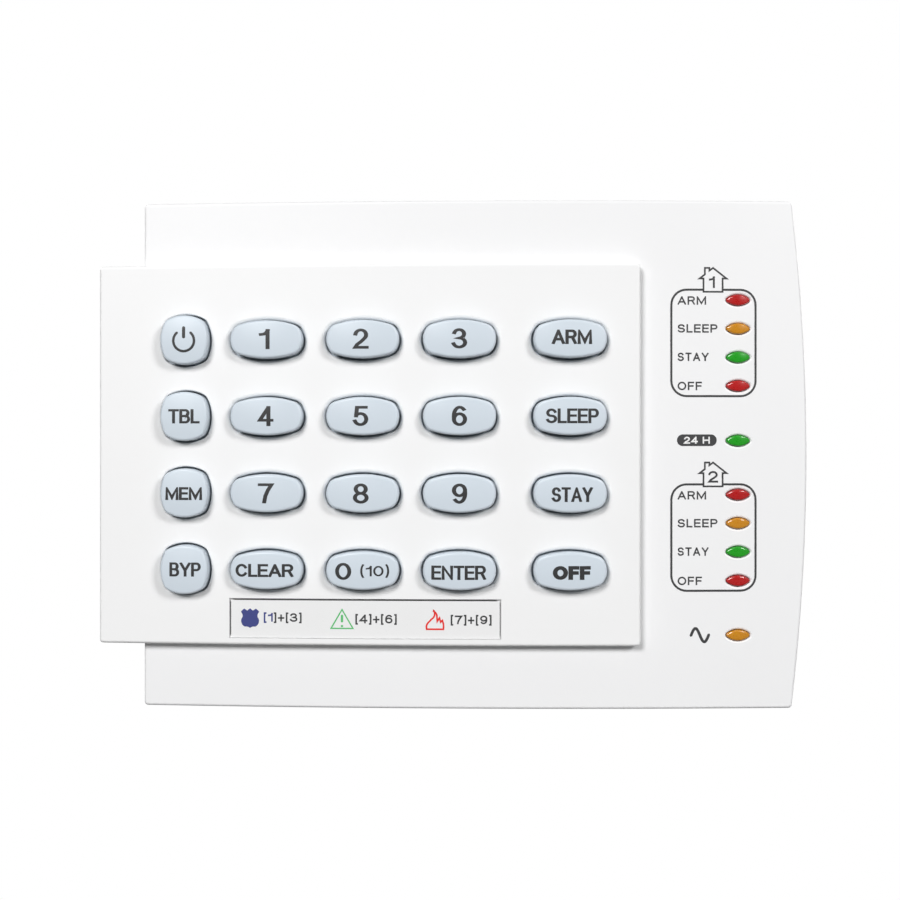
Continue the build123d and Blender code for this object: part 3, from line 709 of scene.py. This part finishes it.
def brush_line(name, points, width, x, z):
    """A line with round ends through close points, in millimetres about x and z."""
    count = len(points)
    bpy.ops.object.select_all(action="DESELECT")
    bpy.ops.mesh.primitive_grid_add(x_subdivisions=count - 1, y_subdivisions=1, size=2)
    flat = bpy.context.object
    flat.name = name
    path = [Vector(p) for p in points]
    run = [0.0]
    for a, b in zip(path, path[1:]):
        run.append(run[-1] + (b - a).length)
    half = width / 2
    for i, here in enumerate(path):
        heading = (path[min(i + 1, count - 1)] - path[max(i - 1, 0)]).normalized()
        side = Vector((-heading.y, heading.x))
        end = min(run[i], run[-1] - run[i], half)
        reach = math.sqrt(max(half**2 - (half - end) ** 2, 0.0))
        for row, sign in ((0, -1), (1, 1)):
            place = here + side * reach * sign
            flat.data.vertices[row * count + i].co = (place.x * MM, place.y * MM, 0)
    every_part()
    bpy.ops.mesh.remove_doubles(threshold=0.0005 * MM)
    bpy.ops.object.mode_set(mode="OBJECT")
    return stand_up(flat, x, z)


# %% [markdown]
# ## Lettering
# Blender's own typeface has a bar for a figure one and pointed letters, and a keypad wants a
# plain wide grotesque. So the letters are drawn here as a sign painter would: each one is a
# few strokes in a square cell, arcs for the round stretches, and a strip of even width is
# laid along each stroke. A boolean then welds the strokes of a word into clean faces and trims
# their pointed ends level.

# %% Strokes of each letter
def arc(x, y, across, up, start, stop):
    """Points on an ellipse, with angles in degrees counter-clockwise from the right."""
    steps = max(4, round(abs(stop - start) / 15))
    turns = [math.radians(start + (stop - start) * i / steps) for i in range(steps + 1)]
    return [(x + across * math.cos(t), y + up * math.sin(t)) for t in turns]


RING = arc(0.5, 0.5, 0.5, 0.5, 0, 360)
STEM = [(0, 0), (0, 1)]
SIX = [arc(0.52, 0.5, 0.5, 0.5, 48, 180) + [(0.03, 0.31)], arc(0.5, 0.31, 0.47, 0.31, 0, 360)]
LETTERS = {
    # letter: (width as a share of its height, strokes in a cell one unit wide and high)
    "A": (0.98, [[(0, 0), (0.5, 1), (1, 0)], [(0.2, 0.3), (0.8, 0.3)]]),
    "B": (0.85, [STEM, [(0, 1)] + arc(0.6, 0.76, 0.33, 0.24, 90, -90) + [(0, 0.52)],
                 [(0.6, 0.52)] + arc(0.6, 0.26, 0.4, 0.26, 90, -90) + [(0, 0)]]),
    "C": (0.95, [arc(0.5, 0.5, 0.5, 0.5, 36, 324)]),
    "E": (0.78, [[(1, 1), (0, 1), (0, 0), (1, 0)], [(0, 0.52), (0.92, 0.52)]]),
    "F": (0.74, [[(0, 0), (0, 1), (1, 1)], [(0, 0.5), (0.9, 0.5)]]),
    "H": (0.9, [STEM, [(1, 0), (1, 1)], [(0, 0.5), (1, 0.5)]]),
    "L": (0.7, [[(0, 1), (0, 0), (1, 0)]]),
    "M": (1.1, [[(0, 0), (0, 1), (0.5, 0.1), (1, 1), (1, 0)]]),
    "N": (0.9, [[(0, 0), (0, 1), (1, 0), (1, 1)]]),
    "O": (1.02, [RING]),
    "P": (0.82, [STEM, [(0, 1)] + arc(0.62, 0.73, 0.38, 0.27, 90, -90) + [(0, 0.46)]]),
    "R": (0.88, [STEM, [(0, 1)] + arc(0.6, 0.74, 0.36, 0.26, 90, -90) + [(0, 0.48)],
                 [(0.62, 0.48), (0.97, 0)]]),
    "S": (0.86, [arc(0.5, 0.745, 0.46, 0.255, 20, 245) + arc(0.5, 0.255, 0.5, 0.255, 65, -160)]),
    "T": (0.84, [[(0, 1), (1, 1)], [(0.5, 1), (0.5, 0)]]),
    "Y": (0.95, [[(0, 1), (0.5, 0.42), (1, 1)], [(0.5, 0.42), (0.5, 0)]]),
    "0": (0.8, [RING]),
    "1": (0.46, [[(1, 0), (1, 1)], [(0, 0.77), (0.45, 0.79), (0.8, 0.87), (1, 1)]]),
    "2": (0.78, [arc(0.5, 0.72, 0.46, 0.28, 172, -35) + [(0.58, 0.36), (0.2, 0.17), (0.03, 0), (1, 0)]]),
    "3": (0.78, [arc(0.47, 0.76, 0.42, 0.24, 165, -90) + arc(0.48, 0.26, 0.5, 0.26, 90, -165)]),
    "4": (0.82, [[(0.74, 0), (0.74, 1)], [(0.7, 0.97), (0, 0.26), (1, 0.26)]]),
    "5": (0.78, [[(0.92, 1), (0.18, 1), (0.1, 0.5)], arc(0.47, 0.32, 0.5, 0.32, 128, -160)]),
    "6": (0.78, SIX),
    "7": (0.78, [[(0, 1), (1, 1), (0.7, 0.68), (0.48, 0.35), (0.38, 0)]]),
    "8": (0.78, [arc(0.5, 0.755, 0.43, 0.245, 0, 360), arc(0.5, 0.255, 0.5, 0.255, 0, 360)]),
    "9": (0.78, [[(1 - x, 1 - y) for x, y in stroke] for stroke in SIX]),
    "(": (0.32, [arc(1.6, 0.5, 1.6, 0.78, 120, 240)]),
    ")": (0.32, [arc(-0.6, 0.5, 1.6, 0.78, 60, -60)]),
    "[": (0.26, [[(1, 1.1), (0, 1.1), (0, -0.2), (1, -0.2)]]),
    "]": (0.26, [[(0, 1.1), (1, 1.1), (1, -0.2), (0, -0.2)]]),
    "+": (0.66, [[(0, 0.42), (1, 0.42)], [(0.5, 0.04), (0.5, 0.8)]]),
    " ": (0.3, []),
}
TALL = "()[]"
SHARPEST = 3.0  # how far a pointed corner may reach, in half line widths
print("drew", len(LETTERS), "letters")


# %% Helpers that lay strips along the strokes
def strip(points, line):
    """A strip of even width along a path, square at its ends and pointed at its corners."""
    path = [Vector(p) for p in points]
    closed = (path[0] - path[-1]).length < 1e-6
    if not closed:
        path[0] = path[0] - (path[1] - path[0]).normalized() * line / 2
        path[-1] = path[-1] + (path[-1] - path[-2]).normalized() * line / 2
    count = len(path)
    bpy.ops.mesh.primitive_grid_add(x_subdivisions=count - 1, y_subdivisions=1, size=2)
    flat = bpy.context.object
    for i, here in enumerate(path):
        before = path[i - 1] if i else path[-2] if closed else here * 2 - path[1]
        after = path[i + 1] if i < count - 1 else path[1] if closed else here * 2 - path[i - 1]
        first = (here - before).normalized()
        second = (after - here).normalized()
        side = Vector((-first.y - second.y, first.x + second.x)).normalized()
        reach = min(1 / max(side.dot(Vector((-first.y, first.x))), 0.01), SHARPEST)
        for row, sign in ((0, -1), (1, 1)):
            place = here + side * reach * sign * line / 2
            flat.data.vertices[row * count + i].co = (place.x, place.y, 0)
    if closed:
        every_part()
        bpy.ops.mesh.remove_doubles(threshold=0.001)
        bpy.ops.object.mode_set(mode="OBJECT")
    return flat


def welded(strips, low, high):
    """One flat face from overlapping strips, trimmed to between two heights."""
    bpy.ops.object.select_all(action="DESELECT")
    for flat in strips:
        flat.select_set(True)
    bpy.context.view_layer.objects.active = strips[0]
    bpy.ops.object.join()
    flat = strips[0]
    slab = flat.modifiers.new("slab", "SOLIDIFY")
    slab.thickness = 1.0
    bpy.ops.object.modifier_apply(modifier="slab")
    bpy.ops.mesh.primitive_cube_add(size=1, location=(0, (low + high) / 2, 0))
    box = bpy.context.object
    box.scale = (100, high - low, 10)
    bpy.ops.object.select_all(action="DESELECT")
    flat.select_set(True)
    bpy.context.view_layer.objects.active = flat
    weld = flat.modifiers.new("weld", "BOOLEAN")
    weld.object = box
    weld.operation = "INTERSECT"
    weld.solver = "EXACT"
    weld.use_self = True
    bpy.ops.object.modifier_apply(modifier="weld")
    bpy.data.objects.remove(box)
    if not flat.data.polygons:
        raise RuntimeError("the weld of " + flat.name + " came out empty; change its line width a little")
    top = max(v.co.z for v in flat.data.vertices)
    remove_faces(flat, lambda face: abs(face.normal.z) < 0.5 or face.center.z < top - 0.5)
    every_part()
    bpy.ops.mesh.dissolve_limited(angle_limit=math.radians(0.5))
    bpy.ops.object.mode_set(mode="OBJECT")
    return flat


def lettering(name, words, x, z, width, height, line, gap=0.18, contrast=1.0):
    """Words of a given size in millimetres. line is the width of a stroke, gap the space between
    letters as a share of the height, and contrast how much wider upright strokes are."""
    room = width - gap * height * (len(words) - 1)
    share = room / sum(LETTERS[letter][0] for letter in words)
    left = -width / 2
    strips = []
    for letter in words:
        wide = LETTERS[letter][0] * share
        start, inner = left / contrast + line / 2, wide / contrast - line
        for stroke in LETTERS[letter][1]:
            places = [(start + u * inner, line / 2 + v * (height - line)) for u, v in stroke]
            strips.append(strip(places, line))
        left += wide + gap * height
    spare = height if set(words) & set(TALL) else 0
    word = welded(strips, -spare, height + spare)
    word.name = name
    for vertex in word.data.vertices:
        vertex.co = ((vertex.co.x * contrast) * MM, (vertex.co.y - height / 2) * MM, 0)
    return stand_up(word, x, z)


# %% Helper that prints artwork on a surface
def printed(flat, surface, ink, cuts=1, lift=INK_LIFT):
    """Bends flat artwork onto a CAD node, gives it the thickness of ink and rides it there."""
    bpy.ops.object.select_all(action="DESELECT")
    flat.select_set(True)
    bpy.context.view_layer.objects.active = flat
    every_part()
    bpy.ops.mesh.quads_convert_to_tris()
    bpy.ops.mesh.remove_doubles(threshold=0.0005 * MM)
    bpy.ops.mesh.select_all(action="SELECT")
    bpy.ops.mesh.subdivide(number_cuts=cuts)
    bpy.ops.object.mode_set(mode="OBJECT")
    push = flat.modifiers.new("push", "SHRINKWRAP")
    push.target = nodes[surface]
    push.wrap_method = "PROJECT"
    push.use_project_y = True
    push.use_positive_direction = True
    push.use_negative_direction = False
    bpy.ops.object.modifier_apply(modifier="push")
    every_part()
    bpy.ops.transform.translate(value=(0, -lift * MM, 0))
    bpy.ops.object.mode_set(mode="OBJECT")
    film = flat.modifiers.new("film", "SOLIDIFY")
    film.thickness = INK_FILM * MM
    film.offset = -1.0
    bpy.ops.object.modifier_apply(modifier="film")
    flat.data.materials.clear()
    flat.data.materials.append(ink)
    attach(flat, nodes[surface]["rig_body"])
    return flat


def middle_of(node):
    """The middle of a CAD node's front, in millimetres."""
    low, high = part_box(node)
    return (low.x + high.x) / 2 / MM, (low.z + high.z) / 2 / MM


# %% [markdown]
# ## Key legends
# Figures are large and bold. The words are squeezed so that their letters nearly touch, which
# is how a long word stays readable on a small key. Each legend is a little off the middle of
# its key, as pad printing is.

# %% Print the figures and words
FIGURE = (3.35, 4.25)
FIGURE_ONE = (2.3, 4.25)
FIGURE_LINE = 0.58
FIGURE_CONTRAST = 1.5  # upright strokes are this much wider than level ones
WORD_LINE = 0.49
WORD_CONTRAST = 1.3
WORD_GAP = 0.03
KEY_CUTS = 3  # a key's dome needs finer ink than the case does
KEY_WORDS = {
    # key: (word, width, height, sideways, upward, line)
    "key_arm": ("ARM", 8.5, 3.05, 0.25, 0.3, 0.54),
    "key_sleep": ("SLEEP", 11.2, 3.1, 0.35, 0.0, WORD_LINE),
    "key_stay": ("STAY", 8.7, 3.1, 0.3, -0.2, WORD_LINE),
    "key_off": ("OFF", 8.0, 2.9, 0.2, -0.3, 0.75),
    "key_trouble": ("TBL", 6.8, 3.05, 0.05, 0.0, WORD_LINE),
    "key_memory": ("MEM", 8.0, 2.75, 0.0, -0.1, WORD_LINE),
    "key_bypass": ("BYP", 6.8, 3.0, 0.3, 0.1, 0.47),
    "key_clear": ("CLEAR", 12.5, 2.75, -0.3, 0.0, WORD_LINE),
    "key_enter": ("ENTER", 11.6, 3.0, -0.15, -0.3, WORD_LINE),
}
FIGURE_SIDE = {"1": -0.3, "2": -0.3, "5": -0.3, "8": -0.3}
ZERO_LEGENDS = {
    # words: (size, shift, line, gap, contrast, ending of the piece's name)
    "0": ((3.45, 3.6), (-4.05, -0.1), 0.55, 0.0, 1.5, ""),
    "(10)": ((6.1, 2.2), (2.65, 0.0), 0.32, 0.14, 1.35, "_ten"),
}


def key_legend(key, words, size, shift, line, gap, contrast, ending=""):
    """Prints words on a key, shifted sideways and upward from its middle."""
    x, z = middle_of(key)
    flat = lettering(key + "_legend" + ending, words, x + shift[0], z + shift[1], *size, line, gap, contrast)
    return printed(flat, key, INK_GREY, KEY_CUTS)


for figure in "123456789":
    size = FIGURE_ONE if figure == "1" else FIGURE
    shift = (FIGURE_SIDE.get(figure, 0.0), 0.0)
    key_legend("key_" + figure, figure, size, shift, FIGURE_LINE, 0.0, FIGURE_CONTRAST)
for key, (word, width, height, sideways, upward, line) in KEY_WORDS.items():
    key_legend(key, word, (width, height), (sideways, upward), line, WORD_GAP, WORD_CONTRAST)
for words, settings in ZERO_LEGENDS.items():
    key_legend("key_0", words, *settings)
print("printed", 9 + len(KEY_WORDS) + len(ZERO_LEGENDS), "legends")

# %% [markdown]
# The power sign is a ring with a gap at the top and a bar in the gap. Both are brush lines:
# a strip of quads with its two rows of points set to each side of a path.

# %% Print the power sign
RING_RADIUS = 2.25
RING_LINE = 0.54
RING_GAP = math.radians(34)
POWER_BAR = 0.68
BAR_FOOT = 0.45
BAR_LENGTH = 2.65
POWER_DROP = 0.2
power_x, power_z = middle_of("key_power")
power_z -= POWER_DROP


def arc_points(radius, start, stop, count):
    """Points on a circle, with angles measured clockwise from the top."""
    turns = [start + (stop - start) * i / (count - 1) for i in range(count)]
    return [(radius * math.sin(t), radius * math.cos(t)) for t in turns]


def power_line(name, points, width):
    line = brush_line(name, points, width, power_x, power_z)
    return printed(line, "key_power", INK_GREY)


power_line("power_ring", arc_points(RING_RADIUS, RING_GAP, 2 * math.pi - RING_GAP, 49), RING_LINE)
power_line("power_bar", [(0, BAR_FOOT + BAR_LENGTH * i / 16) for i in range(17)], POWER_BAR)
print("power sign at", power_x, power_z)

# %% [markdown]
# ## Printing on the case
# Beside the lights there are two framed groups, each with a small house that carries the
# number of its area. A frame is a plane with its corners bevelled round and its inside
# removed, and a house is an outline face treated the same way.

# %% Print the two area frames
FRAME_SIZE = (18.65, 23.3)
FRAME_ROUND = 3.5
FRAME_LINE = 0.45
HOUSE_LINE = 0.37
AREAS = {"1": 24.0, "2": -17.8}  # number: height of the middle of its frame
FRAME_X = 53.1
HOUSE_SHIFT = -0.1
HOUSE = [
    # from the ridge down to the right eave, round the walls, and up past the chimney
    (0, 4.7), (3.45, 2.0), (2.25, 2.0), (2.25, -0.85), (-2.25, -0.85), (-2.25, 2.0),
    (-3.45, 2.0), (-1.95, 3.15), (-1.95, 4.65), (-0.6, 4.65), (-0.6, 4.25),
]
AREA_WORDS = {
    # word: (width, rise above its light's middle)
    "ARM": (6.15, -0.1), "SLEEP": (8.6, 0.05), "STAY": (6.7, 0.1), "OFF": (5.25, 0.0),
}
AREA_WORDS_LEFT = 45.35
CAPITALS = 1.82
CASE_LINE = 0.33
AREA_NUMBER_LINE = 0.42
AREA_NUMBER_RISE = 1.4
AREA_NUMBER_HEIGHT = 2.5
AREA_NUMBERS = {"1": (1.27, -0.35), "2": (2.15, -0.1)}  # number: (width, sideways)
LENS_ROWS = {"1": (33.2, 27.06, 20.9, 14.75), "2": (-8.62, -14.76, -20.9, -27.1)}


def on_case(flat, ink=CASE_INK, cuts=1, lift=INK_LIFT):
    """Prints artwork on the case."""
    return printed(flat, "base_housing", ink, cuts, lift)


def rounded_face(name, width, height, radius, x, z):
    """A rectangle with round corners."""
    bpy.ops.object.select_all(action="DESELECT")
    bpy.ops.mesh.primitive_plane_add(size=1)
    flat = bpy.context.object
    flat.name = name
    flat.scale = (width * MM, height * MM, 1)
    bpy.ops.object.transform_apply(location=False, rotation=False, scale=True)
    every_part()
    bpy.ops.mesh.bevel(offset=radius * MM, segments=8, affect="VERTICES")
    bpy.ops.object.mode_set(mode="OBJECT")
    return stand_up(flat, x, z)


def cut_where_house_is(flat, x, z):
    """Opens the top line of a frame where the house stands, by removing what lies inside its walls."""
    inner = HOUSE[2][0] - HOUSE_LINE / 2
    every_part()
    for side in (-inner, inner):
        bpy.ops.mesh.select_all(action="SELECT")
        bpy.ops.mesh.bisect(plane_co=((x + side) * MM, 0, 0), plane_no=(1, 0, 0))
    bpy.ops.object.mode_set(mode="OBJECT")
    remove_faces(flat, lambda face: abs(face.center.x / MM - x) < inner and face.center.z / MM > z)
    return flat


for number, z in AREAS.items():
    top = z + FRAME_SIZE[1] / 2
    ring = only_line(rounded_face("area_frame_" + number, *FRAME_SIZE, FRAME_ROUND, FRAME_X, z), FRAME_LINE)
    on_case(cut_where_house_is(ring, FRAME_X, z), cuts=3)
    on_case(only_line(flat_face("area_house_" + number, HOUSE, FRAME_X + HOUSE_SHIFT, top), HOUSE_LINE))
    width, shift = AREA_NUMBERS[number]
    place = (FRAME_X + shift, top + AREA_NUMBER_RISE)
    size = (width, AREA_NUMBER_HEIGHT)
    on_case(lettering("area_number_" + number, number, *place, *size, AREA_NUMBER_LINE))
    for (word, (width, rise)), level in zip(AREA_WORDS.items(), LENS_ROWS[number]):
        name = "area_word_" + number + "_" + word.lower()
        place = (AREA_WORDS_LEFT + width / 2, level + rise)
        on_case(lettering(name, word, *place, width, CAPITALS, CASE_LINE))
print("printed", len(AREAS), "area frames")

# %% [markdown]
# The middle light gets a dark tag that says the zone is watched round the clock, and the last
# one gets the wave that means mains power.

# %% Print the tag and the mains wave
TAG = (8.55, 2.5)
TAG_X = 49.5
TAG_Z = 3.1
TAG_WORDS = (5.6, 1.5)
TAG_LINE = 0.3
WAVE_X = 50.15
WAVE_Z = -38.75
WAVE_SIZE = (2.05, 1.45)
WAVE_LINE = 0.6
tag = rounded_face("all_day_tag", *TAG, TAG[1] * 0.49, TAG_X, TAG_Z)
on_case(tag, cuts=3)
words = lettering("all_day_words", "24 H", TAG_X, TAG_Z, *TAG_WORDS, TAG_LINE)
on_case(words, WHITE_INK, lift=2 * INK_LIFT)
wave = []
for i in range(41):
    share = i / 40
    turn = 2 * math.pi * (share * 1.08 - 0.04)
    wave.append((WAVE_SIZE[0] * (2 * share - 1), WAVE_SIZE[1] * math.sin(turn)))
on_case(brush_line("mains_wave", wave, WAVE_LINE, WAVE_X, WAVE_Z))
print("printed the tag and the wave")

# %% [markdown]
# ## The label
# A film in the long recess shows the three pairs of keys that call for help when held
# together: a shield, a warning triangle and a flame. The signs are outlines with some corners
# sharp and some round, so they are drawn with a curve and then filled. Thin dark lines along
# the top and sides of the film are painted shade of the recess edges, heaviest along the top.

# %% Print the label
LABEL_LEVEL = -35.1
LABEL_MIDDLE = -21.75
LABEL_TOP = -31.09
LABEL_CAPITALS = 1.85
LABEL_LINE = 0.34
LABEL_WORDS = {
    # piece: (words, sideways, rise above the level, width, ink)
    "label_keys_1": ("[1", -42.5, 0.2, 1.95, BLUE_INK),
    "label_keys_1_3": ("]+[3]", -38.3, 0.2, 6.0, CASE_INK),
    "label_keys_4_6": ("[4]+[6]", -19.3, 0.0, 8.85, CASE_INK),
    "label_keys_7_9": ("[7]+[9]", 1.0, -0.1, 8.7, CASE_INK),
}
# size of the painted shade lines that stand in for the recess edges' shade on the film
EDGE_SHADE_HALF = 28.9
EDGE_SHADE_HEIGHT = 8.0
SHIELD_X = -46.45
TRIANGLE_X = -26.6
TRIANGLE_LINE = 0.28
MARK_LINE = 0.5
FLAME_X = -6.7
FLAME_LINE = 0.36
SHIELD = [
    (0, 2.1), (0.62, 1.62), (1.3, 2.05), (1.98, 1.4), (1.6, 0.55, True), (1.95, -0.6, True),
    (1.35, -1.72, True), (0.5, -1.85, True), (0, -2.1), (-0.5, -1.85, True), (-1.35, -1.72, True),
    (-1.95, -0.6, True), (-1.6, 0.55, True), (-1.98, 1.4), (-1.3, 2.05), (-0.62, 1.62),
]
TRIANGLE = [(0, 2.25), (2.6, -2.2), (0, -2.2), (-2.6, -2.2)]
FLAME = [
    (-1.95, -2.2), (-1.95, -1.1, True), (-1.15, -0.05, True), (-0.3, 0.9, True), (-0.45, 2.2),
    (0.45, 1.35, True), (0.62, 0.2), (1.02, 0.8), (1.3, -0.15), (1.65, 0.2), (2.0, -1.1, True), (1.95, -2.2),
]


def on_label(flat, ink=CASE_INK):
    """Prints artwork on the label film."""
    return printed(flat, "legend_label", ink)


def upright(x, top, length, steps):
    """Close points straight down from a top, for a brush line."""
    return [(x, top - length * i / steps) for i in range(steps + 1)]


on_label(flat_face("shield_sign", SHIELD, SHIELD_X, LABEL_LEVEL), BLUE_INK)
triangle = flat_face("warning_triangle", TRIANGLE, TRIANGLE_X, LABEL_LEVEL)
on_label(only_line(triangle, TRIANGLE_LINE), GREEN_INK)
mark = upright(0, 1.1, 1.7, 16)
on_label(brush_line("warning_mark", mark, MARK_LINE, TRIANGLE_X, LABEL_LEVEL - 0.2), GREEN_INK)
dot = upright(0, -1.2, 0.5, 16)
on_label(brush_line("warning_dot", dot, MARK_LINE, TRIANGLE_X, LABEL_LEVEL - 0.1), GREEN_INK)
on_label(only_line(flat_face("flame_sign", FLAME, FLAME_X, LABEL_LEVEL - 0.1), FLAME_LINE), RED_INK)
for name, (words, x, rise, width, ink) in LABEL_WORDS.items():
    on_label(lettering(name, words, x, LABEL_LEVEL + rise, width, LABEL_CAPITALS, LABEL_LINE), ink)
# Dark lines at the top and sides of the film are painted shade: they stand in for the shade of the recess
# edges, heaviest along the top.
for side, (line, path) in {
    "top": (0.24, [(-EDGE_SHADE_HALF + 2 * EDGE_SHADE_HALF * i / 60, 0) for i in range(61)]),
    "left": (0.16, upright(-EDGE_SHADE_HALF, 0, EDGE_SHADE_HEIGHT, 12)),
    "right": (0.12, upright(EDGE_SHADE_HALF, 0, EDGE_SHADE_HEIGHT, 12)),
}.items():
    on_label(brush_line("label_edge_shade_" + side, path, line, LABEL_MIDDLE, LABEL_TOP))
print("printed the label")
